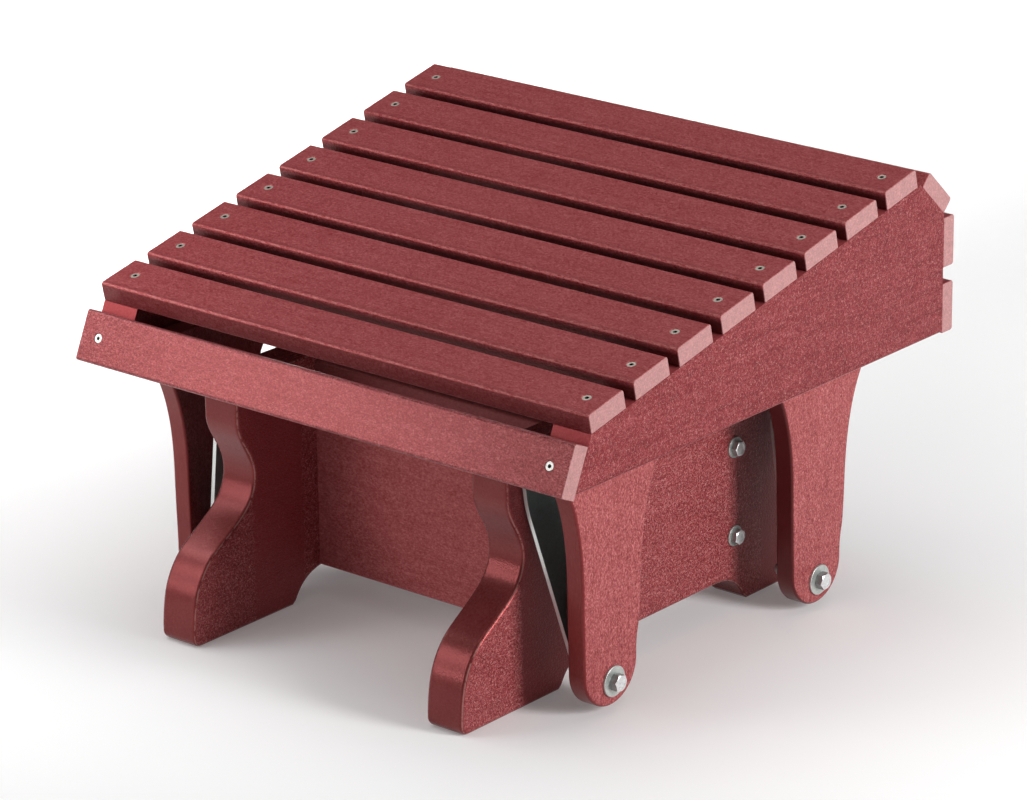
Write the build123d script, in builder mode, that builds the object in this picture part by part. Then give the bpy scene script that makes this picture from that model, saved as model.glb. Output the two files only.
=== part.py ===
from build123d import *
import os
from math import sin, cos, tan, atan2, acos, radians, degrees, hypot

os.makedirs("parts", exist_ok=True)

# ----------------------------------------------------------------------------
# Glider ottoman, millimetres, +Z up, floor at Z = 0.
# X runs along the slats (+X = right side), Y runs front (-) to back (+).
# The origin is under the middle of the object's outer box.
# ----------------------------------------------------------------------------

# --- driving dimensions ------------------------------------------------------
SEAT_W = 580.0            # slat length, and width over the seat
Y0 = -246.1               # Y of the front top edge of the first slat
Z0 = 312.9                # height of that edge
SLOPE = 12.16             # slope of the seat top, degrees
SLAT_T = 19.0             # slat thickness
SLAT_W = 48.7             # slat width
PITCH = 62.55             # slat spacing along the slope
N_SLATS = 8
BACK_T = 16.5             # thickness of the corner and rear slats
SCREW_IN = 21.0           # screw distance from the slat ends

RAIL_T = 42.0             # side rail thickness
RAIL_Z = 245.0            # underside of the side rails
RAIL_BACK = Y0 + 522.3    # back edge of the side rails
RAIL_BACK_TOP = 361.0     # height where the rear chamfer starts
CHAMFER = 44.0            # rear chamfer, degrees from level
APRON_LEAN = 24.2         # lean of the front apron from upright, degrees

PANEL_IN = 140.5          # inner face of the base side panels
PANEL_T = 42.0
PANEL_TOP = 241.0
PANEL_MID = Y0 + 227.5    # middle of the symmetrical base panel
ARCH_Z = 28.5             # height of the raised bottom between the feet
BOARD_T = 42.0
BOARD_TOP = 235.0
BOARD_Z = 29.2
BOARD_F = Y0 + 146.7      # centre of the front cross board
BOARD_R = Y0 + 345.0      # centre of the rear cross board

LEG_IN = 228.0            # inner face of the drop legs
LEG_T = 20.0

PIV_LOW_Z = 28.5          # lower pivots, in the drop legs
PIV_UP_Z = 222.0          # upper pivots, in the base panels
PIV_LOW_F = Y0 + 83.3
PIV_LOW_R = Y0 + 388.7
PIV_UP_F = Y0 + 55.1
PIV_UP_R = Y0 + 416.9

STRAP_W = 40.0
STRAP_T = 4.0
STRAP_X_UP = 187.0        # middle of the strap's thickness at the top
STRAP_X_LOW = 219.5       # and at the bottom
STRAP_FLAT = 17.0         # flat length kept beyond each pivot
STRAP_R_LOW = 60.0        # bend radii at mid thickness
STRAP_R_UP = 102.0
BOLT_D = 9.5
BOLT_AF = 14.7
BUSH_OD = 17.0

PANEL_OUT = PANEL_IN + PANEL_T
LEG_OUT = LEG_IN + LEG_T
RAIL_IN = SEAT_W / 2 - RAIL_T
TS = tan(radians(SLOPE))
CS, SS = cos(radians(SLOPE)), sin(radians(SLOPE))


def py(y):
    """Y of a point given from the front top edge of the first slat."""
    return Y0 + y


# ============================================================================
# BASE
# ============================================================================

# front half of the base panel outline, y from the first slat's edge
S_CURVE = [(19.2, 203), (25.4, 181.5), (36.2, 162), (40.4, 143), (32.4, 120.5), (14.0, 104.4),
           (-7.6, 90.3), (-22.4, 79.6), (-36.2, 61.5), (-44.3, 37), (-46.55, 15), (-46.55, 0)]
ARCH = [(92.5, 3.5), (98, 11.8), (109, 21.6), (123, 27.2), (138, ARCH_Z)]
MID = 227.5


def mirror_y(p):
    return (2 * MID - p[0], p[1])


def world(p):
    return (py(p[0]), p[1])


def base_panel(x_in):
    """Side panel with S-curved ends, two feet and a raised arch."""
    with BuildPart() as panel:
        with BuildSketch(Plane.YZ.offset(x_in)) as outline:
            with BuildLine():
                f = [world(p) for p in S_CURVE]
                b = [world(mirror_y(p)) for p in S_CURVE]
                fa = [world(p) for p in ARCH]
                ba = [world(mirror_y(p)) for p in ARCH]
                heel_f, heel_b = world((88, 0)), world(mirror_y((88, 0)))
                Line((f[0][0], PANEL_TOP), f[0])
                Spline(*f, tangents=[(0, -1), (0, -1)])
                Line(f[-1], heel_f)
                Line(heel_f, fa[0])
                Spline(*fa, tangents=[(0.6, 1), (1, 0)])
                Line(fa[-1], ba[-1])
                Spline(*ba[::-1], tangents=[(1, 0), (0.6, -1)])
                Line(ba[0], heel_b)
                Line(heel_b, b[-1])
                Spline(*b[::-1], tangents=[(0, 1), (0, 1)])
                Line(b[0], (b[0][0], PANEL_TOP))
                Line((b[0][0], PANEL_TOP), (f[0][0], PANEL_TOP))
            make_face()
            corners = outline.vertices()
            fillet(corners.group_by(Axis.X)[0].group_by(Axis.Y)[0]
                   + corners.group_by(Axis.X)[-1].group_by(Axis.Y)[0], 9)
            fillet(outline.vertices().group_by(Axis.Y)[-1], 10)
        extrude(amount=PANEL_T)
        # every outline edge softened by the router
        fillet(panel.faces().sort_by(Axis.X)[0].edges()
               + panel.faces().sort_by(Axis.X)[-1].edges(), 3.5)
    return panel


def base_holes(side):
    """Bolt positions on a base panel, drilled right through along X."""
    return [(BOARD_F, 158.0), (BOARD_F, 70.0), (BOARD_R, 158.0), (BOARD_R, 70.0)]


raw_panel_right = base_panel(PANEL_IN)
with BuildPart() as base_side_right:
    add(raw_panel_right.part)
    for (y, z) in base_holes(1):
        with Locations(Location((PANEL_OUT, y, z), (0, 90, 0))):
            Hole(4.9, depth=PANEL_T + 1)
    for (y, z) in ((PIV_UP_F, PIV_UP_Z), (PIV_UP_R, PIV_UP_Z)):
        with Locations(Location((PANEL_OUT, y, z), (0, 90, 0))):
            Hole(BOLT_D / 2 + 0.1, depth=PANEL_T + 1)
base_side_right.part.label = "base_side_right"
export_step(base_side_right.part, "parts/base_side_right.step")

raw_panel_left = base_panel(-PANEL_OUT)
with BuildPart() as base_side_left:
    add(raw_panel_left.part)
    for (y, z) in base_holes(-1):
        with Locations(Location((-PANEL_IN, y, z), (0, 90, 0))):
            Hole(4.9, depth=PANEL_T + 1)
    for (y, z) in ((PIV_UP_F, PIV_UP_Z), (PIV_UP_R, PIV_UP_Z)):
        with Locations(Location((-PANEL_IN, y, z), (0, 90, 0))):
            Hole(BOLT_D / 2 + 0.1, depth=PANEL_T + 1)
base_side_left.part.label = "base_side_left"
export_step(base_side_left.part, "parts/base_side_left.step")

# cross boards between the two panels, with blind pilot holes in their ends
with BuildPart() as cross_board_front:
    with BuildSketch(Plane.YZ.offset(-PANEL_IN)):
        with Locations((BOARD_F, (BOARD_TOP + BOARD_Z) / 2)):
            RectangleRounded(BOARD_T, BOARD_TOP - BOARD_Z, 3.5)
    extrude(amount=2 * PANEL_IN)
    for s in (-1, 1):
        for z in (158.0, 70.0):
            with Locations(Location((s * PANEL_IN, BOARD_F, z), (0, 90 * s, 0))):
                Hole(4.85, depth=62)
cross_board_front.part.label = "cross_board_front"
export_step(cross_board_front.part, "parts/cross_board_front.step")

with BuildPart() as cross_board_rear:
    with BuildSketch(Plane.YZ.offset(-PANEL_IN)):
        with Locations((BOARD_R, (BOARD_TOP + BOARD_Z) / 2)):
            RectangleRounded(BOARD_T, BOARD_TOP - BOARD_Z, 3.5)
    extrude(amount=2 * PANEL_IN)
    for s in (-1, 1):
        for z in (158.0, 70.0):
            with Locations(Location((s * PANEL_IN, BOARD_R, z), (0, 90 * s, 0))):
                Hole(4.85, depth=62)
cross_board_rear.part.label = "cross_board_rear"
export_step(cross_board_rear.part, "parts/cross_board_rear.step")

# --- fasteners: one of each is made pointing along +Z, then placed ------------
# a hexagon-head lag bolt, head seat at Z = 0, head above, shank below
with BuildPart() as lag_bolt:
    with BuildSketch(Plane.XY):
        RegularPolygon(13.2 / 2, 6, major_radius=False)
    extrude(amount=6.2)
    with BuildSketch(Plane.XZ):
        Polygon((0, 0), (7.2, 0), (7.65, 0.45), (7.65, 5.2), (6.2, 6.2), (4.5, 6.2), (4.1, 5.7), (0, 5.7),
                align=None)
    revolve(axis=Axis.Z, mode=Mode.INTERSECT)
    with BuildSketch(Plane.XZ):
        Polygon((0, 0), (4.75, 0), (4.75, -93), (1.2, -100), (0, -100), align=None)
    revolve(axis=Axis.Z)

with BuildPart() as lag_washer:
    with BuildSketch(Plane.XY):
        Circle(10.1)
        Circle(5.2, mode=Mode.SUBTRACT)
    extrude(amount=2.0)
    fillet(lag_washer.edges().filter_by(GeomType.CIRCLE).group_by(SortBy.RADIUS)[-1], 0.5)


def out_right(x, y, z, spin=0):
    """Location whose local +Z points outward on the right side."""
    return Location((x, y, z), (0, 90, 0)) * Location((0, 0, 0), (0, 0, spin))


def out_left(x, y, z, spin=0):
    """Location whose local +Z points outward on the left side."""
    return Location((x, y, z), (0, -90, 0)) * Location((0, 0, 0), (0, 0, spin))


BOARD_BOLTS = [(BOARD_F, 158.0, 12), (BOARD_F, 70.0, 41), (BOARD_R, 158.0, 24), (BOARD_R, 70.0, 50)]

with BuildPart() as base_lag_bolts:
    for (y, z, spin) in BOARD_BOLTS:
        with Locations(out_right(PANEL_OUT + 2.0, y, z, spin), out_left(-PANEL_OUT - 2.0, y, z, spin)):
            add(lag_bolt.part)
base_lag_bolts.part.label = "base_lag_bolts"
export_step(base_lag_bolts.part, "parts/base_lag_bolts.step")

with BuildPart() as base_lag_washers:
    for (y, z, spin) in BOARD_BOLTS:
        with Locations(out_right(PANEL_OUT, y, z), out_left(-PANEL_OUT, y, z)):
            add(lag_washer.part)
base_lag_washers.part.label = "base_lag_washers"
export_step(base_lag_washers.part, "parts/base_lag_washers.step")


# --- pivot hardware -----------------------------------------------------------
def pivot_bolt(length):
    """Hexagon bolt: seat of the head at Z = 0, shank down to -length."""
    with BuildPart() as bolt:
        with BuildSketch(Plane.XY):
            RegularPolygon(BOLT_AF / 2, 6, major_radius=False)
        extrude(amount=7.6)
        with BuildSketch(Plane.XZ):
            Polygon((0, 0), (7.9, 0), (8.55, 0.6), (8.55, 6.6), (7.1, 7.6), (5.2, 7.6), (4.9, 7.2),
                    (0, 7.2), align=None)
        revolve(axis=Axis.Z, mode=Mode.INTERSECT)
        with BuildSketch(Plane.XZ):
            Polygon((0, 0), (BOLT_D / 2, 0), (BOLT_D / 2, -length + 1.4), (BOLT_D / 2 - 1.4, -length),
                    (0, -length), align=None)
        revolve(axis=Axis.Z)
    return bolt


# prevailing-torque nut: bearing face at Z = 0, collar on the far side (+Z)
with BuildPart() as lock_nut:
    with BuildSketch(Plane.XY):
        RegularPolygon(BOLT_AF / 2, 6, major_radius=False)
    extrude(amount=8.0)
    with BuildSketch(Plane.XZ):
        Polygon((0, 0), (7.8, 0), (8.55, 0.7), (8.55, 7.0), (7.2, 8.0), (0, 8.0), align=None)
    revolve(axis=Axis.Z, mode=Mode.INTERSECT)
    with BuildSketch(Plane.XY.offset(8.0)):
        Circle(6.5)
    extrude(amount=3.0)
    fillet(lock_nut.edges().group_by(Axis.Z)[-1], 1.0)
    with Locations((0, 0, 11.0)):
        Hole(BOLT_D / 2 + 0.02, depth=12)


def washer(od, bore, t):
    """Flat washer on Z = 0 with softened rims."""
    with BuildPart() as w:
        with BuildSketch(Plane.XY):
            Circle(od / 2)
            Circle(bore / 2, mode=Mode.SUBTRACT)
        extrude(amount=t)
        fillet(w.edges().filter_by(GeomType.CIRCLE).group_by(SortBy.RADIUS)[-1], min(0.6, t * 0.3))
    return w


# stack at an upper pivot, outward from the panel's outer face
FL = 1.5                                   # bushing flange
GAP = 0.05                                 # running gap at each flange
UP_S_IN = STRAP_X_UP - STRAP_T / 2         # strap faces
UP_S_OUT = STRAP_X_UP + STRAP_T / 2
UP_SPACER = UP_S_IN - FL - GAP - PANEL_OUT
UP_OUT = UP_S_OUT + FL + GAP
LOW_S_IN = STRAP_X_LOW - STRAP_T / 2
LOW_S_OUT = STRAP_X_LOW + STRAP_T / 2
LOW_SPACER = LEG_IN - (LOW_S_OUT + FL + GAP)
LOW_IN = LOW_S_IN - FL - GAP
W_T = 2.4                                  # pivot washer thickness
W_OD = 29.2

UPPERS = [(PIV_UP_F, 8), (PIV_UP_R, 31)]
LOWERS = [(PIV_LOW_F, 17), (PIV_LOW_R, 38)]

# upper bolts: head on the strap side, nut on the panel's inner face
up_bolt = pivot_bolt(UP_OUT + W_T - PANEL_IN + W_T + 14.0)
with BuildPart() as upper_pivot_bolts:
    for (y, spin) in UPPERS:
        with Locations(out_right(UP_OUT + W_T, y, PIV_UP_Z, spin), out_left(-UP_OUT - W_T, y, PIV_UP_Z, spin)):
            add(up_bolt.part)
upper_pivot_bolts.part.label = "upper_pivot_bolts"
export_step(upper_pivot_bolts.part, "parts/upper_pivot_bolts.step")

w_out = washer(W_OD, BOLT_D + 0.3, W_T)
w_up_sp = washer(26.0, BOLT_D + 0.3, UP_SPACER)
w_low_sp = washer(26.0, BOLT_D + 0.3, LOW_SPACER)
with BuildPart() as upper_pivot_washers:
    for (y, spin) in UPPERS:
        with Locations(out_right(UP_OUT, y, PIV_UP_Z), out_left(-UP_OUT, y, PIV_UP_Z)):
            add(w_out.part)
        with Locations(out_right(PANEL_OUT, y, PIV_UP_Z), out_left(-PANEL_OUT, y, PIV_UP_Z)):
            add(w_up_sp.part)
        with Locations(out_right(PANEL_IN - W_T, y, PIV_UP_Z), out_left(-PANEL_IN + W_T, y, PIV_UP_Z)):
            add(w_out.part)
upper_pivot_washers.part.label = "upper_pivot_washers"
export_step(upper_pivot_washers.part, "parts/upper_pivot_washers.step")

with BuildPart() as upper_pivot_nuts:
    for (y, spin) in UPPERS:
        with Locations(out_left(PANEL_IN - W_T, y, PIV_UP_Z, spin + 13), out_right(-PANEL_IN + W_T, y, PIV_UP_Z, spin + 13)):
            add(lock_nut.part)
upper_pivot_nuts.part.label = "upper_pivot_nuts"
export_step(upper_pivot_nuts.part, "parts/upper_pivot_nuts.step")

# ============================================================================
# SWING STRAPS
# ============================================================================
# flanged half bushing: flange from Z = 0 to FL, barrel below the flange


def half_bushing(bore):
    with BuildPart() as bush:
        with BuildSketch(Plane.XY):
            Circle(13.0)
        extrude(amount=FL)
        fillet(bush.edges().group_by(Axis.Z)[-1], 0.4)
        with BuildSketch(Plane.XY):
            Circle(BUSH_OD / 2)
        extrude(amount=-(STRAP_T / 2 - 0.05))
        with Locations((0, 0, FL)):
            Hole(bore / 2, depth=FL + STRAP_T)
    return bush


RUN = half_bushing(BOLT_D + 0.1)            # running fit, 0.05 mm radial
OPEN = half_bushing(BOLT_D + 2.3)           # roomy bore at the rear lower pivots


def strap(side, y_low, y_up):
    """Flat bar joggled outward by two long bends, semicircular ends and a bore at each pivot."""
    dy, dz = y_up - y_low, PIV_UP_Z - PIV_LOW_Z
    length = hypot(dy, dz)
    uy, uz = dy / length, dz / length
    along = Plane(origin=(0, y_low, PIV_LOW_Z), x_dir=(1, 0, 0), z_dir=(0, -uz, uy))
    r = STRAP_W / 2
    h = STRAP_T / 2
    xl, xu = STRAP_X_LOW, STRAP_X_UP
    # bend angle that carries the bar from one flat to the other
    run = length - 2 * STRAP_FLAT
    two_r = STRAP_R_LOW + STRAP_R_UP
    lift = two_r - (xl - xu)
    phi = atan2(run, lift) - acos(two_r / hypot(run, lift))

    def low_bend(radius, a):
        return (xl - STRAP_R_LOW + radius * cos(a), STRAP_FLAT + radius * sin(a))

    def up_bend(radius, a):
        return (xu + STRAP_R_UP - radius * cos(a), length - STRAP_FLAT - radius * sin(a))

    def at(p):
        return (side * p[0], p[1])

    with BuildPart() as bar:
        with BuildSketch(along):
            with BuildLine():
                rl, ru = STRAP_R_LOW, STRAP_R_UP
                # outer face upward, then the inner face back down
                Line(at((xl + h, -r - 2)), at(low_bend(rl + h, 0)))
                ThreePointArc(at(low_bend(rl + h, 0)), at(low_bend(rl + h, phi / 2)), at(low_bend(rl + h, phi)))
                Line(at(low_bend(rl + h, phi)), at(up_bend(ru - h, phi)))
                ThreePointArc(at(up_bend(ru - h, phi)), at(up_bend(ru - h, phi / 2)), at(up_bend(ru - h, 0)))
                Line(at(up_bend(ru - h, 0)), at((xu + h, length + r + 2)))
                Line(at((xu + h, length + r + 2)), at((xu - h, length + r + 2)))
                Line(at((xu - h, length + r + 2)), at(up_bend(ru + h, 0)))
                ThreePointArc(at(up_bend(ru + h, 0)), at(up_bend(ru + h, phi / 2)), at(up_bend(ru + h, phi)))
                Line(at(up_bend(ru + h, phi)), at(low_bend(rl - h, phi)))
                ThreePointArc(at(low_bend(rl - h, phi)), at(low_bend(rl - h, phi / 2)), at(low_bend(rl - h, 0)))
                Line(at(low_bend(rl - h, 0)), at((xl - h, -r - 2)))
                Line(at((xl - h, -r - 2)), at((xl + h, -r - 2)))
            make_face()
        extrude(amount=r + 1, both=True)
        with BuildSketch(Plane.YZ.offset(side * 150 if side > 0 else -260)):
            with Locations(Location(((y_low + y_up) / 2, (PIV_LOW_Z + PIV_UP_Z) / 2, 0), (0, 0, degrees(atan2(uz, uy))))):
                SlotCenterToCenter(length, STRAP_W)
        extrude(amount=110, mode=Mode.INTERSECT)
        for (y, z) in ((y_low, PIV_LOW_Z), (y_up, PIV_UP_Z)):
            with Locations(Location((side * 260, y, z), (0, 90 * side, 0))):
                Hole(BUSH_OD / 2, depth=120)
    return bar


def bushings(side, y_low, y_up, low):
    with BuildPart() as grp:
        o = out_right if side > 0 else out_left
        i = out_left if side > 0 else out_right
        with Locations(o(side * UP_S_OUT, y_up, PIV_UP_Z), i(side * UP_S_IN, y_up, PIV_UP_Z)):
            add(RUN.part)
        with Locations(o(side * LOW_S_OUT, y_low, PIV_LOW_Z), i(side * LOW_S_IN, y_low, PIV_LOW_Z)):
            add(low.part)
    return grp


strap_front_right = strap(1, PIV_LOW_F, PIV_UP_F)
strap_front_right.part.label = "strap_front_right"
export_step(strap_front_right.part, "parts/strap_front_right.step")
strap_front_left = strap(-1, PIV_LOW_F, PIV_UP_F)
strap_front_left.part.label = "strap_front_left"
export_step(strap_front_left.part, "parts/strap_front_left.step")
strap_rear_right = strap(1, PIV_LOW_R, PIV_UP_R)
strap_rear_right.part.label = "strap_rear_right"
export_step(strap_rear_right.part, "parts/strap_rear_right.step")
strap_rear_left = strap(-1, PIV_LOW_R, PIV_UP_R)
strap_rear_left.part.label = "strap_rear_left"
export_step(strap_rear_left.part, "parts/strap_rear_left.step")

bushings_front_right = bushings(1, PIV_LOW_F, PIV_UP_F, RUN)
bushings_front_right.part.label = "bushings_front_right"
export_step(bushings_front_right.part, "parts/bushings_front_right.step")
bushings_front_left = bushings(-1, PIV_LOW_F, PIV_UP_F, RUN)
bushings_front_left.part.label = "bushings_front_left"
export_step(bushings_front_left.part, "parts/bushings_front_left.step")
bushings_rear_right = bushings(1, PIV_LOW_R, PIV_UP_R, OPEN)
bushings_rear_right.part.label = "bushings_rear_right"
export_step(bushings_rear_right.part, "parts/bushings_rear_right.step")
bushings_rear_left = bushings(-1, PIV_LOW_R, PIV_UP_R, OPEN)
bushings_rear_left.part.label = "bushings_rear_left"
export_step(bushings_rear_left.part, "parts/bushings_rear_left.step")

# ============================================================================
# SEAT
# ============================================================================

# --- side rails ---------------------------------------------------------------
# top line of the rail = underside of the slats
RT_Y, RT_Z = 0.0 + SLAT_T * SS, Z0 - SLAT_T * CS          # front top corner
BV = tan(radians(APRON_LEAN))
RB_Y = RT_Y - (RT_Z - RAIL_Z) * BV                        # front bottom corner
CH = tan(radians(CHAMFER))
back = RAIL_BACK - Y0
PK_Y = (RAIL_BACK_TOP + back * CH - RT_Z + RT_Y * TS) / (TS + CH)
PK_Z = RT_Z + (PK_Y - RT_Y) * TS                          # peak between slope and chamfer

RAIL_PROFILE = [(RT_Y, RT_Z), (PK_Y, PK_Z), (back, RAIL_BACK_TOP), (back, RAIL_Z), (RB_Y, RAIL_Z)]


def slope_pt(s, up=0.0):
    """Point on the seat slope: s along it from the front edge, up from its top face."""
    return (py(s * CS - up * SS), Z0 + s * SS + up * CS)


SLAT_MID = [i * PITCH + SLAT_W / 2 for i in range(N_SLATS)]
# screw axes in a rail: (y, z, tilt about X) with local +Z out of the wood
screw_seats = []
for s in SLAT_MID:
    y, z = slope_pt(s)
    screw_seats.append((y, z, SLOPE, "top"))
CORNER_S = 0.4                             # the corner slat starts at the lower end of the chamfer
ch_dir = (-cos(radians(CHAMFER)), sin(radians(CHAMFER)))   # up along the chamfer
ch_n = (sin(radians(CHAMFER)), cos(radians(CHAMFER)))      # out of the chamfer
c_mid = (back + ch_dir[0] * (CORNER_S + SLAT_W / 2) + ch_n[0] * BACK_T,
         RAIL_BACK_TOP + ch_dir[1] * (CORNER_S + SLAT_W / 2) + ch_n[1] * BACK_T)
REAR_LOW_Z = 243.6
REAR_UP_Z = 308.0
back_seats = [(py(c_mid[0]), c_mid[1], -CHAMFER), (py(back + BACK_T), REAR_UP_Z + SLAT_W / 2, -90.0),
              (py(back + BACK_T), REAR_LOW_Z + SLAT_W / 2, -90.0)]
ap_u = (sin(radians(APRON_LEAN)), cos(radians(APRON_LEAN)))        # up along the apron
ap_n = (-cos(radians(APRON_LEAN)), sin(radians(APRON_LEAN)))       # out of the apron
ap_b0 = (RB_Y - 5.2 * ap_u[0], RAIL_Z - 5.2 * ap_u[1])             # lower back edge of the apron
ap_mid = (ap_b0[0] + ap_u[0] * SLAT_W / 2 + ap_n[0] * SLAT_T,
          ap_b0[1] + ap_u[1] * SLAT_W / 2 + ap_n[1] * SLAT_T)
apron_seat = (py(ap_mid[0]), ap_mid[1], 90.0 - APRON_LEAN)


def tilt(x, y, z, angle):
    """Location whose local +Z is the outward normal, leaned by angle about X."""
    return Location((x, y, z), (angle, 0, 0))


LEG_SCREWS = [(-58.0, 256.5), (-36.0, 256.5), (36.0, 256.5), (58.0, 256.5)]


def rail(side):
    x_in = RAIL_IN if side > 0 else -SEAT_W / 2
    xs = side * (SEAT_W / 2 - SCREW_IN)
    with BuildPart() as r:
        with BuildSketch(Plane.YZ.offset(x_in)):
            with BuildLine():
                Polyline(*[world(p) for p in RAIL_PROFILE], close=True)
            make_face()
        extrude(amount=RAIL_T)
        # softened lower long edges and back edge
        low = r.edges().filter_by(Axis.Y).group_by(Axis.Z)[0]
        fillet(low, 1.8)
        # pilot holes for the slat, corner, rear and apron screws
        for (y, z, a, _) in screw_seats:
            with Locations(tilt(xs, y, z, a)):
                Hole(2.15, depth=47)
        for (y, z, a) in back_seats:
            with Locations(tilt(xs, y, z, a)):
                Hole(2.15, depth=47)
        with Locations(tilt(xs, apron_seat[0], apron_seat[1], apron_seat[2])):
            Hole(2.15, depth=47)
        # pilot holes for the leg screws, from the inner face
        for yp in (PIV_LOW_F, PIV_LOW_R):
            for (dy, z) in LEG_SCREWS:
                with Locations(Location((side * LEG_IN, yp + dy, z), (0, -90 * side, 0))):
                    Hole(2.15, depth=20 + 26)
    return r


side_rail_right = rail(1)
side_rail_right.part.label = "side_rail_right"
export_step(side_rail_right.part, "parts/side_rail_right.step")
side_rail_left = rail(-1)
side_rail_left.part.label = "side_rail_left"
export_step(side_rail_left.part, "parts/side_rail_left.step")

# --- slats --------------------------------------------------------------------
CSK_D = 8.6


def board(t, top_r=3.0, low_r=1.2):
    """Slat lying along X, top face at Z = 0, routed long edges, screw holes."""
    with BuildPart() as b:
        with BuildSketch(Plane.YZ.offset(-SEAT_W / 2)):
            with Locations((0, -t / 2)):
                Rectangle(SLAT_W, t)
        extrude(amount=SEAT_W)
        long_edges = b.edges().filter_by(Axis.X)
        fillet(long_edges.group_by(Axis.Z)[-1], top_r)
        fillet(b.edges().filter_by(Axis.X).group_by(Axis.Z)[0], low_r)
        ends = b.faces().filter_by(Axis.X)
        chamfer(ends.edges(), 0.5)
        for s in (-1, 1):
            with Locations((s * (SEAT_W / 2 - SCREW_IN), 0, 0)):
                CounterSinkHole(2.15, CSK_D / 2 + 0.82, counter_sink_angle=90, depth=t + 1)
    return b


top_board = board(SLAT_T)
back_board = board(BACK_T)

for i in range(N_SLATS):
    y, z, a, _ = screw_seats[i]
    with BuildPart() as slat:
        with Locations(tilt(0, y, z, a)):
            add(top_board.part)
    slat.part.label = "top_slat_%d" % (i + 1)
    export_step(slat.part, "parts/top_slat_%d.step" % (i + 1))

for name, (y, z, a) in zip(("corner_slat", "rear_slat_upper", "rear_slat_lower"), back_seats):
    with BuildPart() as slat:
        with Locations(tilt(0, y, z, a)):
            add(back_board.part)
    slat.part.label = name
    export_step(slat.part, "parts/" + name + ".step")

with BuildPart() as front_apron:
    with Locations(tilt(0, *apron_seat)):
        add(top_board.part)
front_apron.part.label = "front_apron"
export_step(front_apron.part, "parts/front_apron.step")

# --- countersunk screws --------------------------------------------------------
# head face at Z = 0, point down; square drive recess


def screw(length, head_d=CSK_D, shank=4.2):
    with BuildPart() as sc:
        with BuildSketch(Plane.XZ):
            Polygon((0, 0), (head_d / 2 - 0.15, 0), (head_d / 2, -0.25), (shank / 2, -0.25 - (head_d - shank) / 2),
                    (shank / 2, -length + 5), (0.35, -length), (0, -length), align=None)
        revolve(axis=Axis.Z)
        with BuildSketch(Plane.XY):
            Rectangle(2.9, 2.9)
        extrude(amount=-2.0, mode=Mode.SUBTRACT)
    return sc


wood_screw = screw(44.0)
leg_screw = screw(42.0)
XS = SEAT_W / 2 - SCREW_IN
SINK = 0.5                                  # heads sit just below the surface


def seat_loc(x, y, z, a, spin):
    """Screw location: head SINK below the face, turned by spin."""
    return tilt(x, y, z, a) * Location((0, 0, -SINK), (0, 0, spin))


with BuildPart() as top_slat_screws:
    for i, (y, z, a, _) in enumerate(screw_seats):
        with Locations(seat_loc(-XS, y, z, a, 20 + 37 * i), seat_loc(XS, y, z, a, 5 + 53 * i)):
            add(wood_screw.part)
top_slat_screws.part.label = "top_slat_screws"
export_step(top_slat_screws.part, "parts/top_slat_screws.step")

with BuildPart() as rear_slat_screws:
    for i, (y, z, a) in enumerate(back_seats):
        with Locations(seat_loc(-XS, y, z, a, 31 * i), seat_loc(XS, y, z, a, 12 + 47 * i)):
            add(wood_screw.part)
rear_slat_screws.part.label = "rear_slat_screws"
export_step(rear_slat_screws.part, "parts/rear_slat_screws.step")

with BuildPart() as apron_screws:
    with Locations(seat_loc(-XS, *apron_seat, 10), seat_loc(XS, *apron_seat, 35)):
        add(wood_screw.part)
apron_screws.part.label = "apron_screws"
export_step(apron_screws.part, "parts/apron_screws.step")

# --- drop legs -----------------------------------------------------------------
LEG_R = 37.0
LEG_CY, LEG_CZ = -2.0, 42.5
LEG_TOP = 268.0
FRONT_EDGE = [(LEG_CY - LEG_R, LEG_CZ), (-40.2, 100), (-41.2, 145), (-43.4, 168), (-47.4, 189),
              (-53.8, 210), (-62.5, 229), (-73, 246)]
REAR_EDGE = [(LEG_CY + LEG_R, LEG_CZ), (38.4, 72), (41.2, 105), (43.0, 136), (46.2, 162),
             (51.4, 185), (58.6, 205), (68.0, 223.5), (79, 240)]


def drop_leg(side, yp):
    """Leg hung from the rail: round foot, waisted blade, flared head."""
    x_in = LEG_IN if side > 0 else -LEG_OUT
    with BuildPart() as leg:
        with BuildSketch(Plane.YZ.offset(x_in)) as outline:
            with BuildLine():
                f = [(yp + p[0], p[1]) for p in FRONT_EDGE]
                b = [(yp + p[0], p[1]) for p in REAR_EDGE]
                Spline(*f, tangents=[(0, 1), (-0.6, 0.8)])
                Line(f[-1], (f[-1][0], LEG_TOP))
                Line((f[-1][0], LEG_TOP), (b[-1][0], LEG_TOP))
                Line((b[-1][0], LEG_TOP), b[-1])
                Spline(*b[::-1], tangents=[(-0.62, -0.78), (0, -1)])
                ThreePointArc(b[0], (yp + LEG_CY, LEG_CZ - LEG_R), f[0])
            make_face()
            fillet(outline.vertices().group_by(Axis.Y)[-1], 8)
            fillet(outline.vertices().sort_by_distance((f[-1][0], f[-1][1], 0))[0], 9)
            fillet(outline.vertices().sort_by_distance((b[-1][0], b[-1][1], 0))[0], 9)
        extrude(amount=LEG_T)
        fillet(leg.faces().sort_by(Axis.X)[0].edges()
               + leg.faces().sort_by(Axis.X)[-1].edges(), 2.6)
        with Locations(Location((side * LEG_OUT, yp, PIV_LOW_Z), (0, 90 * side, 0))):
            Hole(BOLT_D / 2 + 0.1, depth=LEG_T + 1)
        for (dy, z) in LEG_SCREWS:
            with Locations(Location((side * LEG_IN, yp + dy, z), (0, -90 * side, 0))):
                CounterSinkHole(2.15, CSK_D / 2 + 0.82, counter_sink_angle=90, depth=LEG_T + 1)
    return leg


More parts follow.
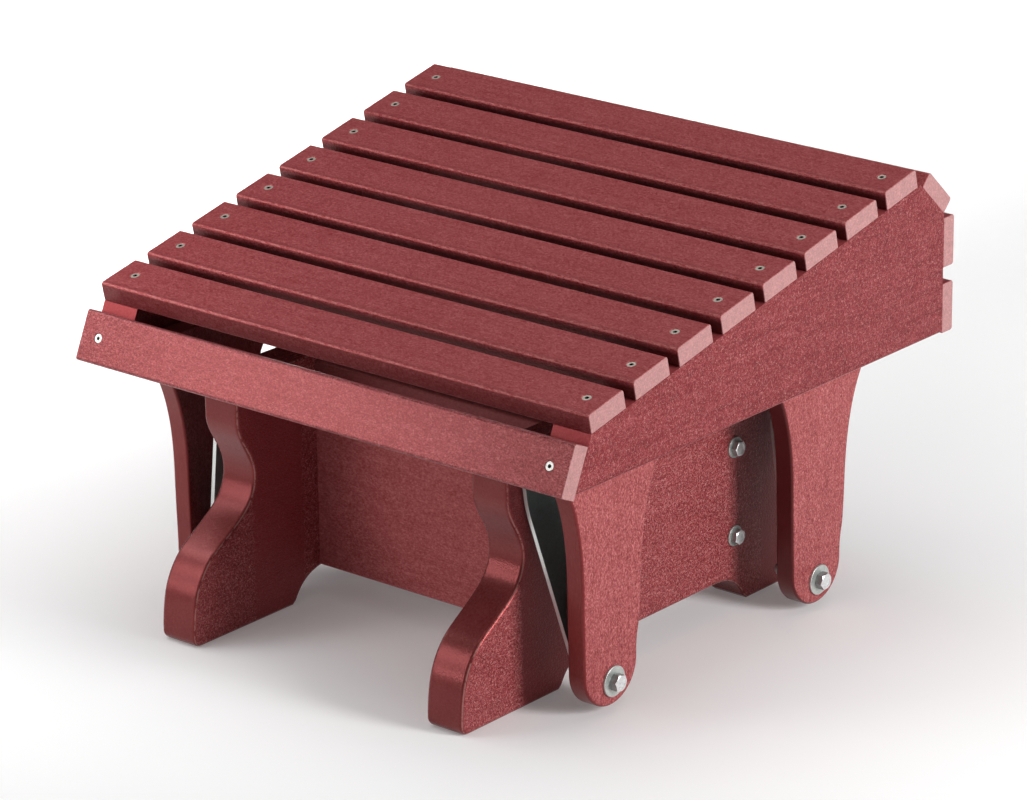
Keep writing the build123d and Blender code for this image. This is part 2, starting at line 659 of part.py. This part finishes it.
for name, side, yp in (("drop_leg_front_right", 1, PIV_LOW_F), ("drop_leg_front_left", -1, PIV_LOW_F),
                       ("drop_leg_rear_right", 1, PIV_LOW_R), ("drop_leg_rear_left", -1, PIV_LOW_R)):
    leg = drop_leg(side, yp)
    leg.part.label = name
    export_step(leg.part, "parts/" + name + ".step")

with BuildPart() as leg_screws:
    for yp in (PIV_LOW_F, PIV_LOW_R):
        for k, (dy, z) in enumerate(LEG_SCREWS):
            sink = Location((0, 0, -SINK), (0, 0, 19 * k))
            with Locations(out_left(LEG_IN, yp + dy, z) * sink, out_right(-LEG_IN, yp + dy, z) * sink):
                add(leg_screw.part)
leg_screws.part.label = "leg_screws"
export_step(leg_screws.part, "parts/leg_screws.step")

# --- lower pivot hardware: head and big washer outside, nut inside -------------
low_bolt = pivot_bolt(LEG_OUT + W_T - (LOW_IN - W_T) + 14.0)
with BuildPart() as lower_pivot_bolts:
    for (y, spin) in LOWERS:
        with Locations(out_right(LEG_OUT + W_T, y, PIV_LOW_Z, spin), out_left(-LEG_OUT - W_T, y, PIV_LOW_Z, spin)):
            add(low_bolt.part)
lower_pivot_bolts.part.label = "lower_pivot_bolts"
export_step(lower_pivot_bolts.part, "parts/lower_pivot_bolts.step")

with BuildPart() as lower_pivot_washers:
    for (y, spin) in LOWERS:
        with Locations(out_right(LEG_OUT, y, PIV_LOW_Z), out_left(-LEG_OUT, y, PIV_LOW_Z)):
            add(w_out.part)
        with Locations(out_left(LEG_IN, y, PIV_LOW_Z), out_right(-LEG_IN, y, PIV_LOW_Z)):
            add(w_low_sp.part)
        with Locations(out_right(LOW_IN - W_T, y, PIV_LOW_Z), out_left(-LOW_IN + W_T, y, PIV_LOW_Z)):
            add(w_out.part)
lower_pivot_washers.part.label = "lower_pivot_washers"
export_step(lower_pivot_washers.part, "parts/lower_pivot_washers.step")

with BuildPart() as lower_pivot_nuts:
    for (y, spin) in LOWERS:
        with Locations(out_left(LOW_IN - W_T, y, PIV_LOW_Z, spin + 9), out_right(-LOW_IN + W_T, y, PIV_LOW_Z, spin + 9)):
            add(lock_nut.part)
lower_pivot_nuts.part.label = "lower_pivot_nuts"
export_step(lower_pivot_nuts.part, "parts/lower_pivot_nuts.step")
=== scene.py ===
import math
import bpy
import bmesh
from mathutils import Vector, Matrix, Quaternion, noise

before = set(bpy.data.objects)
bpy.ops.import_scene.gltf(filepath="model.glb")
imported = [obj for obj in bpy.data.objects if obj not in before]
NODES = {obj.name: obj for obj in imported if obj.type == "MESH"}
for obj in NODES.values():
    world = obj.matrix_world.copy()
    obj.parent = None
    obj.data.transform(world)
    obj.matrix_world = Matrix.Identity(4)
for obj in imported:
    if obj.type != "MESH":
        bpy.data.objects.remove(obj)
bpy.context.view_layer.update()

scene = bpy.context.scene

# ---------------------------------------------------------------------------
# camera: solved from the photograph, in the frame of the part, metres
# ---------------------------------------------------------------------------
CAM_POS = Vector((2.7269548, -3.2304331, 1.7253237))
CAM_R = Vector((0.7667944, 0.6417793, -0.0120676))
CAM_U = Vector((-0.2101848, 0.2688025, 0.9399828))
CAM_B = Vector((0.6065053, -0.7182371, 0.3410085))
cam_data = bpy.data.cameras.new("camera")
cam = bpy.data.objects.new("camera", cam_data)
scene.collection.objects.link(cam)
scene.camera = cam
cam_data.sensor_fit = "HORIZONTAL"
cam_data.sensor_width = 36.0
cam_data.lens = 169.108
cam_data.clip_start, cam_data.clip_end = 0.05, 60.0
m = Matrix((CAM_R, CAM_U, CAM_B)).transposed().to_4x4()
m.translation = CAM_POS
cam.matrix_world = m

# ---------------------------------------------------------------------------
# node helpers
# ---------------------------------------------------------------------------


class Tree:
    """A small writer for shader node trees."""

    def __init__(self, mat):
        mat.use_nodes = True
        self.nt = mat.node_tree
        self.nt.nodes.clear()
        self.out = self.nt.nodes.new("ShaderNodeOutputMaterial")
        self.x = -200

    def new(self, kind, **props):
        n = self.nt.nodes.new(kind)
        n.location = (self.x, 0)
        self.x -= 40
        for k, v in props.items():
            setattr(n, k, v)
        return n

    def link(self, a, b):
        self.nt.links.new(a, b)

    def put(self, socket, v):
        if isinstance(v, bpy.types.NodeSocket):
            self.link(v, socket)
        else:
            socket.default_value = v

    def math(self, op, a, b=0.0, c=None, clamp=False):
        n = self.new("ShaderNodeMath", operation=op, use_clamp=clamp)
        self.put(n.inputs[0], a)
        self.put(n.inputs[1], b)
        if c is not None:
            self.put(n.inputs[2], c)
        return n.outputs[0]

    def vmath(self, op, a, b=(0, 0, 0), out=0):
        n = self.new("ShaderNodeVectorMath", operation=op)
        self.put(n.inputs[0], a)
        if op != "LENGTH" and op != "ABSOLUTE":
            self.put(n.inputs[1], b)
        return n.outputs[out]

    def mul(self, a, b):
        return self.math("MULTIPLY", a, b)

    def add(self, a, b):
        return self.math("ADD", a, b)

    def sub(self, a, b):
        return self.math("SUBTRACT", a, b)

    def step(self, v, lo, hi, to_lo=0.0, to_hi=1.0, smooth=True):
        n = self.new("ShaderNodeMapRange", interpolation_type="SMOOTHSTEP" if smooth else "LINEAR", clamp=True)
        self.put(n.inputs["Value"], v)
        self.put(n.inputs["From Min"], lo)
        self.put(n.inputs["From Max"], hi)
        self.put(n.inputs["To Min"], to_lo)
        self.put(n.inputs["To Max"], to_hi)
        return n.outputs[0]

    def noise(self, vec, scale, detail=2.0, rough=0.5, distortion=0.0, lac=2.0):
        n = self.new("ShaderNodeTexNoise", noise_dimensions="3D")
        self.put(n.inputs["Vector"], vec)
        n.inputs["Scale"].default_value = scale
        n.inputs["Detail"].default_value = detail
        n.inputs["Roughness"].default_value = rough
        n.inputs["Lacunarity"].default_value = lac
        n.inputs["Distortion"].default_value = distortion
        return n.outputs[0]

    def voronoi(self, vec, scale, feature="F1", randomness=1.0, out=0):
        n = self.new("ShaderNodeTexVoronoi", feature=feature)
        self.put(n.inputs["Vector"], vec)
        n.inputs["Scale"].default_value = scale
        n.inputs["Randomness"].default_value = randomness
        return n.outputs[out]

    def scale(self, vec, s):
        return self.vmath("MULTIPLY", vec, s)

    def mix(self, f, a, b, blend="MIX"):
        n = self.new("ShaderNodeMix", data_type="RGBA", blend_type=blend, clamp_factor=True)
        self.put(n.inputs[0], f)
        self.put(n.inputs[6], a if isinstance(a, bpy.types.NodeSocket) else (*a, 1.0))
        self.put(n.inputs[7], b if isinstance(b, bpy.types.NodeSocket) else (*b, 1.0))
        return n.outputs[2]

    def grey(self, v):
        n = self.new("ShaderNodeCombineColor")
        for i in range(3):
            self.put(n.inputs[i], v)
        return n.outputs[0]

    def ramp(self, f, stops):
        n = self.new("ShaderNodeValToRGB")
        self.put(n.inputs[0], f)
        e = n.color_ramp.elements
        while len(e) > len(stops):
            e.remove(e[-1])
        while len(e) < len(stops):
            e.new(1.0)
        for el, (p, c) in zip(e, stops):
            el.position = p
            el.color = (*c, 1.0)
        return n.outputs[0]

    def obj(self):
        return self.new("ShaderNodeTexCoord").outputs["Object"]

    def xyz(self, v):
        n = self.new("ShaderNodeSeparateXYZ")
        self.put(n.inputs[0], v)
        return n.outputs

    def bump(self, height, distance, strength=1.0, normal=None):
        n = self.new("ShaderNodeBump")
        self.put(n.inputs["Height"], height)
        n.inputs["Distance"].default_value = distance
        n.inputs["Strength"].default_value = strength
        if normal is not None:
            self.put(n.inputs["Normal"], normal)
        return n.outputs[0]

    def surface(self, color, rough, normal=None, metallic=0.0, specular=0.5, coat=0.0, coat_rough=0.3, sheen=0.0):
        b = self.new("ShaderNodeBsdfPrincipled")
        self.put(b.inputs["Base Color"], color if isinstance(color, bpy.types.NodeSocket) else (*color, 1.0))
        self.put(b.inputs["Roughness"], rough)
        b.inputs["Metallic"].default_value = metallic
        b.inputs["Specular IOR Level"].default_value = specular
        b.inputs["Coat Weight"].default_value = coat
        b.inputs["Coat Roughness"].default_value = coat_rough
        b.inputs["Sheen Weight"].default_value = sheen
        if normal is not None:
            self.put(b.inputs["Normal"], normal)
        self.link(b.outputs[0], self.out.inputs[0])
        return b


def give(obj, mat):
    if obj.data.materials:
        for i in range(len(obj.data.materials)):
            obj.data.materials[i] = mat
    else:
        obj.data.materials.append(mat)


# ---------------------------------------------------------------------------
# poly lumber
# ---------------------------------------------------------------------------
GLOSS_TINT = (1.0, 0.20, 0.20)


def tone3(base, spread):
    """Dark, middle and light stop round a colour; spread is how far red goes down and up, the others less."""
    down, up = spread
    k = (1.0, 0.44, 0.44)
    return (tuple(max(0.05 * c, c - down * q) for c, q in zip(base, k)), base,
            tuple(min(0.92, c + up * q) for c, q in zip(base, k)))


def lumber(name, grain, seed, base, spread=(0.12, 0.16), relief=1.0, rough=0.46, edge=None, end=None,
           squash=1.0, streaks=0.35, gloss=1.0, edge_rough=0.30, flecks=0.0, top_slope=None, tint=GLOSS_TINT,
           worms=0.0, pale_arris=0.0, inside=1.0, gap_depth=0.0, side=1.0,
           low_edge=None, high_edge=None, shadow_zone=None):
    """Moulded plastic board. grain: axis letter of the extrusion. base: middle colour of the faces, spread its
    swing from speck to speck. edge: colour of the routed edges of a part cut from sheet, smooth where the
    normal leaves the X axis. end: colour of sawn ends along X. flecks and worms: sparse pale dots and short
    curls, partly the board's own speckle and partly painted glints of the key light. inside: how bright the face
    turned to the middle is kept, a painted shade. side: how bright a slat's long side faces are kept, falling to
    a fifth over gap_depth below its top, painted shade in the gaps. low_edge and high_edge: heights between
    which a face darkens towards its bottom or top, painted shade. shadow_zone: near and far distance from the
    middle of a band, and a height, where the speckle and painted glints are turned down, a painted shade where
    the legs and the seat above cast shadow on the face."""
    mat = bpy.data.materials.new(name)
    t = Tree(mat)
    p = t.vmath("ADD", t.obj(), (seed * 1.37, seed * 2.11, seed * 0.73))
    n = t.new("ShaderNodeNewGeometry").outputs["Normal"]
    nx, ny, nz = t.xyz(n)
    anx = t.math("ABSOLUTE", nx)
    long_cross = {"X": (1, 0, 0), "Y": (0, 1, 0), "Z": (0, 0, 1)}[grain]

    def stretched(k_long, k_cross):
        return t.scale(p, tuple(k_long if c else k_cross for c in long_cross))

    mottle = t.noise(p, 42.0, 2.0, 0.6)
    cloud = t.noise(p, 150.0, 2.0, 0.6)
    streak = t.noise(stretched(9.0, 240.0), 1.0, 2.0, 0.6)
    streak2 = t.noise(stretched(60.0, 700.0), 1.0, 2.0, 0.6)
    speck = t.noise(stretched(820.0 / squash, 820.0), 1.0, 1.0, 0.75)
    grain2 = t.noise(t.vmath("ADD", stretched(430.0 / squash, 430.0), (3.1, 5.2, 7.7)), 1.0, 1.0, 0.6)

    # 0..1 tone with the middle at 0.5
    tone = t.add(0.5, t.mul(t.sub(speck, 0.5), 1.55))
    tone = t.add(tone, t.mul(t.sub(grain2, 0.5), 0.75))
    tone = t.add(tone, t.mul(t.sub(cloud, 0.5), 0.22))
    tone = t.add(tone, t.mul(t.sub(mottle, 0.5), 0.22))
    tone = t.add(tone, t.mul(t.sub(streak, 0.5), streaks))
    tone = t.add(tone, t.mul(t.sub(streak2, 0.5), streaks * 0.7))
    lively = 1.0
    # painted shade: speckle, flecks and curls turned down where the legs and the seat above cast shadow on the face
    if shadow_zone is not None:
        _, py, pz = t.xyz(t.obj())
        ay = t.math("ABSOLUTE", py)
        near = t.step(ay, shadow_zone[0], shadow_zone[0] + 0.004)
        band = t.math("MAXIMUM", t.step(ay, shadow_zone[1] + 0.002, shadow_zone[1] - 0.002), t.step(pz, shadow_zone[2] - 0.004, shadow_zone[2] + 0.004))
        lively = t.sub(1.0, t.mul(t.mul(near, band), 0.75))
        tone = t.add(0.5, t.mul(t.sub(tone, 0.5), lively))
    lo, mid, hi = tone3(base, spread)
    color = t.ramp(tone, [(0.0, lo), (0.5, mid), (1.0, hi)])
    r = t.add(rough, t.mul(t.sub(speck, 0.5), 0.30))
    height = t.add(t.mul(speck, 1.0), t.mul(grain2, 0.8))
    if flecks:
        # sparse pale flecks, partly a second pigment and partly painted glints of the key light
        f = t.noise(t.vmath("ADD", stretched(620.0 / squash, 620.0), (9.3, 4.4, 1.9)), 1.0, 1.0, 0.8)
        color = t.mix(t.mul(t.mul(t.step(f, 0.62, 0.72), flecks), lively), color, (0.68, 0.43, 0.39))
        color = t.mix(t.mul(t.mul(t.step(f, 0.36, 0.27), flecks * 0.8), lively), color, tuple(c * 0.35 for c in base))
    if worms:
        # short pale curls, partly the board's own speckle and partly painted glints of the key light
        w = t.noise(t.vmath("ADD", p, (1.7, 8.3, 2.6)), 560.0, 0.0, 0.5)
        ridge = t.step(t.math("ABSOLUTE", t.sub(w, 0.5)), 0.065, 0.020)
        where = t.step(t.noise(t.vmath("ADD", p, (6.1, 0.4, 3.9)), 330.0, 1.0, 0.6), 0.50, 0.62)
        color = t.mix(t.mul(t.mul(t.mul(ridge, where), worms), lively), color, (0.68, 0.36, 0.33))
    if top_slope is not None:
        # top_slope: slope of the board's top. Darker strip behind the front arris, pale ragged arris, then painted
        # shade on the long side faces and on the faces turned down
        along = t.vmath("DOT_PRODUCT", t.obj(), (0.0, math.cos(top_slope), math.sin(top_slope)), out=1)
        s = t.math("MODULO", t.sub(along, SLOPE_0 - 20 * PITCH), PITCH)
        up = t.vmath("DOT_PRODUCT", n, (0.0, -math.sin(top_slope), math.cos(top_slope)), out=1)
        s = t.add(s, t.mul(t.sub(t.noise(stretched(60.0, 300.0), 1.0, 2.0, 0.6), 0.5), 0.0022))
        strip = t.mul(t.step(s, 0.0072, 0.0030), t.step(up, 0.90, 0.97))
        color = t.mix(t.mul(strip, 0.38), color, tuple(c * 0.45 for c in base))
        arris = t.mul(t.step(up, 0.35, 0.60), t.step(up, 0.94, 0.80))
        rag = t.step(t.noise(stretched(170.0, 900.0), 1.0, 2.0, 0.7), 0.44, 0.60)
        color = t.mix(t.mul(t.mul(arris, rag), 0.55), color, (0.52, 0.24, 0.22))
        # painted shade: a slat's long side faces darken, the more the deeper they go into the gap below its top
        below = t.sub(TOP_H, t.vmath("DOT_PRODUCT", t.obj(), (0.0, -math.sin(top_slope), math.cos(top_slope)), out=1))
        flank = t.step(t.math("ABSOLUTE", up), 0.45, 0.20)
        keep = side
        if gap_depth:
            keep = t.step(below, 0.0025, gap_depth, side, side * 0.22)
        shade = t.add(1.0, t.mul(flank, t.sub(keep, 1.0)))
        # painted shade: faces turned down darken to two fifths
        shade = t.mul(shade, t.step(up, -0.6, -0.9, 1.0, 0.40))
        color = t.mix(1.0, color, t.grey(shade), "MULTIPLY")

    if edge is not None:
        face = t.step(anx, 0.86, 0.985)
        e_tone = t.add(0.5, t.add(t.mul(t.sub(streak2, 0.5), 0.9), t.mul(t.sub(grain2, 0.5), 0.7)))
        e_tone = t.add(e_tone, t.mul(t.sub(mottle, 0.5), 0.5))
        elo, emid, ehi = tone3(edge, (0.22 * edge[0], 0.26 * edge[0]))
        e_color = t.ramp(e_tone, [(0.0, elo), (0.5, emid), (1.0, ehi)])
        color = t.mix(face, e_color, color)
        r = t.add(t.mul(face, t.sub(r, edge_rough)), edge_rough)
        height = t.add(t.mul(face, height), t.mul(t.sub(1.0, face), t.mul(streak2, 0.25)))
        # pale arris along the roundover: a worn pale edge and also a painted highlight of the key light
        if pale_arris:
            band = t.mul(t.step(anx, 0.50, 0.62), t.step(anx, 0.90, 0.78))
            nick = t.step(t.noise(p, 190.0, 2.0, 0.7), 0.36, 0.52)
            color = t.mix(t.mul(t.mul(band, nick), pale_arris), color, (0.66, 0.40, 0.36))
    # painted shade: the face turned to the middle is darkened
    if inside < 1.0:
        px = t.xyz(t.obj())[0]
        inner = t.step(t.mul(px, nx), -0.06, -0.14)
        color = t.mix(1.0, color, t.grey(t.add(1.0, t.mul(inner, inside - 1.0))), "MULTIPLY")
    if end is not None:
        cut = t.step(anx, 0.62, 0.90)
        saw = t.noise(t.scale(p, (300.0, 90.0, 1300.0)), 1.0, 2.0, 0.6)
        c_tone = t.add(0.5, t.add(t.mul(t.sub(grain2, 0.5), 0.8), t.mul(t.sub(speck, 0.5), 0.9)))
        c_tone = t.add(c_tone, t.add(t.mul(t.sub(saw, 0.5), 0.4), t.mul(t.sub(cloud, 0.5), 0.5)))
        clo, cmid, chi = tone3(end, (0.12, 0.16))
        c_color = t.ramp(c_tone, [(0.0, clo), (0.5, cmid), (1.0, chi)])
        color = t.mix(cut, color, c_color)
        r = t.add(t.mul(cut, t.sub(0.70, r)), r)
        height = t.add(height, t.mul(cut, t.mul(saw, 1.0)))
    # painted shade: darker towards the bottom edge
    if low_edge is not None:
        z = t.xyz(t.obj())[2]
        dim = t.step(z, low_edge[0] + 0.0006, low_edge[1], 0.58, 1.0)
        color = t.mix(1.0, color, t.grey(dim), "MULTIPLY")
    # painted shade: darker towards the top
    if high_edge is not None:
        z = t.xyz(t.obj())[2]
        color = t.mix(1.0, color, t.grey(t.step(z, high_edge[0], high_edge[1], 1.0, 0.33)), "MULTIPLY")
    nrm = t.bump(height, 0.00022 * relief, 1.0)
    b = t.surface(color, r, nrm, specular=gloss)
    b.inputs["Specular Tint"].default_value = (*tint, 1.0)
    return mat


PITCH = 0.06255
SLOPE_0 = -0.2461 * math.cos(math.radians(12.16)) + 0.3129 * math.sin(math.radians(12.16))
TOP_H = 0.3577186
SLAT = (0.280, 0.051, 0.055)
APRON = (0.190, 0.039, 0.044)
RAIL = (0.132, 0.0095, 0.0135)
LEG = (0.258, 0.053, 0.056)
BASE = (0.201, 0.028, 0.032)
ROUTED = (0.136, 0.025, 0.025)
LEG_EDGE = (0.130, 0.022, 0.021)
SAWN = (0.372, 0.211, 0.207)
RAIL_BEVEL = (0.315, 0.054, 0.058)
# painted shade: the rear legs' edge colour, far darker than the front legs' for the shade they stand in
REAR_EDGE_SHADE = (0.052, 0.015, 0.015)
INNER = (0.324, 0.081, 0.083)

slat_names = ["top_slat_%d" % i for i in range(1, 9)]
# painted shade on the slats' long side faces: slat 1's front kept at half, the others darkening down into the gaps,
# and on faces turned down
for i, n in enumerate(slat_names + ["corner_slat", "rear_slat_upper", "rear_slat_lower"]):
    give(NODES[n], lumber("poly_" + n, "X", 1.0 + i * 0.61, SLAT, spread=(0.105, 0.150), relief=1.2, end=SAWN,
                          squash=1.7, rough=0.42, top_slope=math.radians(12.16) if i < 8 else None,
                          side=0.50 if i == 0 else 0.88, gap_depth=0.0 if i == 0 else 0.0085))
give(NODES["front_apron"], lumber("poly_front_apron", "X", 9.3, APRON, spread=(0.16, 0.27), relief=0.8, end=SAWN,
                                  squash=1.6, rough=0.32, flecks=0.32, worms=0.14))
# painted shade on the rails' inner faces and along their bottom edge over the legs
for i, n in enumerate(["side_rail_left", "side_rail_right"]):
    give(NODES[n], lumber("poly_" + n, "Y", 11.0 + i * 0.77, RAIL, spread=(0.11, 0.18), relief=2.2, edge=RAIL_BEVEL,
                          flecks=0.20, worms=0.42, inside=0.35, tint=(1.0, 0.12, 0.13), low_edge=(0.2450, 0.2482)))
# base sides: the pale arris is worn edge and painted highlight; where the legs and seat cast shadow the speckle is
# turned down, a painted shade
for i, n in enumerate(["base_side_left", "base_side_right"]):
    give(NODES[n], lumber("poly_" + n, "Y", 14.0 + i * 0.83, BASE, spread=(0.15, 0.26), relief=2.6, edge=ROUTED,
                          flecks=0.28, worms=0.50, gloss=0.85, tint=(1.0, 0.20, 0.20), edge_rough=0.24,
                          pale_arris=0.30, shadow_zone=(0.140, 0.2095, 0.123)))
# painted shade on the legs' inner faces, and the rear legs' edges in the darker shaded colour
for i, n in enumerate(["drop_leg_front_left", "drop_leg_front_right", "drop_leg_rear_left", "drop_leg_rear_right"]):
    give(NODES[n], lumber("poly_" + n, "Z", 17.0 + i * 0.57, LEG, spread=(0.17, 0.24), relief=1.2,
                          edge=LEG_EDGE if "front" in n else REAR_EDGE_SHADE, squash=1.5, flecks=0.25, worms=0.16, inside=0.40))
# painted shade: the cross boards darken towards the top, under the slats
for i, n in enumerate(["cross_board_front", "cross_board_rear"]):
    give(NODES[n], lumber("poly_" + n, "X", 21.0 + i * 0.91, INNER, spread=(0.115, 0.15), relief=0.6, squash=1.6,
                          high_edge=(0.190, 0.219)))


# ---------------------------------------------------------------------------
# metal and nylon
# ---------------------------------------------------------------------------
# direction up a face and the place of its screws along it
SCREW_PLANES = {"top": ((0.0, math.cos(math.radians(12.16)), math.sin(math.radians(12.16))), SLOPE_0 + 0.02435),
                "apron": ((0.0, 0.40992, 0.91212), 0.134292)}


def metal(name, base, rough, seed, swing=0.38, relief=1.0, metallic=1.0, brushed=None, cells=420.0, flank=None,
          rim=None, recess=None):
    """Plated metal. flank: how bright the faces that don't look along X are kept, a painted shade on the sides
    turned from the key light. rim: colour of a strap's cut edges. recess: painted shade in the screw's drive,
    dark within this slope-plane distance of the screw axis."""
    mat = bpy.data.materials.new(name)
    t = Tree(mat)
    p = t.vmath("ADD", t.obj(), (seed, seed * 1.7, seed * 0.3))
    cloud = t.noise(p, 260.0, 3.0, 0.65)
    fine = t.noise(p, 1100.0, 2.0, 0.7)
    cell = t.voronoi(p, cells)
    dark = tuple(c * (1.0 - swing) for c in base)
    tone = t.add(0.62, t.add(t.mul(t.sub(cloud, 0.5), 1.2), t.mul(t.sub(fine, 0.5), 1.3)))
    tone = t.add(tone, t.mul(t.sub(cell, 0.4), 0.25))
    color = t.ramp(tone, [(0.0, dark), (1.0, base)])
    nx, ny, nz = t.xyz(t.new("ShaderNodeNewGeometry").outputs["Normal"])
    # painted shade: faces that don't look along X darken
    if flank is not None:
        side = t.step(t.math("ABSOLUTE", nx), 0.55, 0.25)
        color = t.mix(1.0, color, t.grey(t.add(1.0, t.mul(side, flank - 1.0))), "MULTIPLY")
    if rim is not None:
        color = t.mix(t.step(t.math("ABSOLUTE", ny), 0.55, 0.85), color, rim)
    # painted shade in the screw's drive recess
    if recess is not None:
        kind, reach = recess
        axis = SCREW_PLANES[kind]
        x = t.sub(t.math("ABSOLUTE", t.xyz(t.obj())[0]), 0.269)
        v = t.sub(t.vmath("DOT_PRODUCT", t.obj(), axis[0], out=1), axis[1])
        if kind == "top":
            v = t.sub(t.math("MODULO", t.add(v, 20.5 * PITCH), PITCH), 0.5 * PITCH)
        far = t.math("SQRT", t.add(t.mul(x, x), t.mul(v, v)))
        color = t.mix(t.step(far, reach + 0.0004, reach - 0.0002), color, (0.035, 0.032, 0.030))
    r = t.add(rough, t.mul(t.sub(cloud, 0.5), 0.22))
    r = t.add(r, t.mul(t.sub(fine, 0.5), 0.20))
    h = t.add(fine, t.mul(cloud, 0.8))
    if brushed is not None:
        s = t.noise(t.scale(p, brushed), 1.0, 2.0, 0.6)
        h = t.add(t.mul(s, 0.8), t.mul(fine, 0.3))
    t.surface(color, r, t.bump(h, 0.00009 * relief), metallic=metallic, specular=0.6)
    return mat


zinc = metal("zinc_plate", (0.62, 0.66, 0.63), 0.40, 2.0, metallic=0.72, cells=700.0)
# painted shade on the bolt heads' side facets
zinc_head = metal("zinc_head", (0.86, 0.88, 0.88), 0.34, 2.6, swing=0.48, metallic=0.55, cells=800.0, flank=0.42)
# painted shade in the drives of the top and front screws
screw_top = metal("screw_stainless_top", (0.78, 0.72, 0.62), 0.36, 3.3, metallic=0.65, recess=("top", 0.0019))
screw_front = metal("screw_stainless_front", (0.82, 0.80, 0.76), 0.36, 3.9, metallic=0.60, recess=("apron", 0.0017))
steel_screw = metal("screw_stainless", (0.74, 0.70, 0.64), 0.38, 4.3, metallic=0.70)
strap_mat = metal("strap_plate", (0.17, 0.24, 0.225), 0.45, 5.1, metallic=0.80, brushed=(60.0, 900.0, 25.0),
                  rim=(0.74, 0.76, 0.74))
for n in ("base_lag_washers", "upper_pivot_washers", "upper_pivot_nuts", "lower_pivot_washers", "lower_pivot_nuts"):
    give(NODES[n], zinc)
for n in ("base_lag_bolts", "upper_pivot_bolts", "lower_pivot_bolts"):
    give(NODES[n], zinc_head)
for n, mat in (("top_slat_screws", screw_top), ("apron_screws", screw_front), ("rear_slat_screws", steel_screw),
               ("leg_screws", steel_screw)):
    give(NODES[n], mat)
for k in ("front_left", "front_right", "rear_left", "rear_right"):
    give(NODES["strap_" + k], strap_mat)

nyl = bpy.data.materials.new("nylon_black")
t = Tree(nyl)
p = t.obj()
f = t.noise(p, 1400.0, 2.0, 0.6)
t.surface(t.ramp(f, [(0.3, (0.018, 0.018, 0.02)), (0.7, (0.04, 0.04, 0.043))]), t.add(0.42, t.mul(f, 0.15)), t.bump(f, 0.00005))
for k in ("front_left", "front_right", "rear_left", "rear_right"):
    give(NODES["bushings_" + k], nyl)

# ---------------------------------------------------------------------------
# floor, light
# ---------------------------------------------------------------------------
bm = bmesh.new()
bmesh.ops.create_grid(bm, x_segments=2, y_segments=2, size=12.0)
me = bpy.data.meshes.new("floor")
bm.to_mesh(me)
bm.free()
floor = bpy.data.objects.new("floor", me)
scene.collection.objects.link(floor)
floor.location = (0, 0, -0.0002)
fm = bpy.data.materials.new("floor_pale")
t = Tree(fm)
b = t.surface((0.88, 0.88, 0.88), 0.9, specular=0.0)
b.inputs["Emission Color"].default_value = (1.0, 1.0, 1.0, 1.0)
b.inputs["Emission Strength"].default_value = 0.12
give(floor, fm)

world = bpy.data.worlds.new("studio")
scene.world = world
world.use_nodes = True
bg = world.node_tree.nodes["Background"]
bg.inputs[0].default_value = (1.0, 1.0, 1.0, 1.0)
bg.inputs[1].default_value = 0.112


def softbox(name, pos, target, size, power, color=(1, 1, 1), spread=180.0):
    d = bpy.data.lights.new(name, "AREA")
    d.shape = "RECTANGLE"
    d.size, d.size_y = size
    d.energy = power
    d.spread = math.radians(spread)
    d.color = color
    o = bpy.data.objects.new(name, d)
    scene.collection.objects.link(o)
    o.location = pos
    o.rotation_mode = "QUATERNION"
    o.rotation_quaternion = (Vector(target) - Vector(pos)).to_track_quat("-Z", "Y")
    return o


softbox("key_right", (2.15, 0.25, 0.85), (0.1, 0.0, 0.2), (0.55, 0.9), 40.6)
softbox("top", (-0.2, 0.2, 2.6), (0, 0, 0.3), (2.4, 2.4), 30.0)
softbox("near_left", (-0.375, -0.70, 0.44), (-0.06, -0.27, 0.27), (0.40, 0.24), 0.73)
softbox("near_left_high", (-0.56, -0.40, 0.60), (-0.15, -0.25, 0.15), (0.25, 0.30), 0.93)
softbox("front_left", (-1.5, -1.65, 1.0), (0, 0, 0.2), (0.9, 1.0), 7.5)
softbox("low_left", (-0.93, -1.51, 0.345), (0.0, -0.27, 0.08), (0.50, 0.14), 2.4)
# gridded panels that only fall on the floor round and behind the object
softbox("floor_back", (-1.55, 1.85, 2.6), (-1.549, 1.85, 0.0), (2.2, 1.8), 22.0, spread=60.0)
softbox("floor_left", (-1.45, 0.40, 1.3), (-1.449, 0.40, 0.0), (1.3, 1.5), 7.0, spread=42.0)
softbox("floor_right", (0.75, 1.45, 1.3), (0.751, 1.45, 0.0), (1.4, 1.2), 3.0, spread=42.0)

scene.view_settings.view_transform = "Standard"
scene.view_settings.look = "None"
scene.view_settings.exposure = 0.0
scene.view_settings.gamma = 1.0
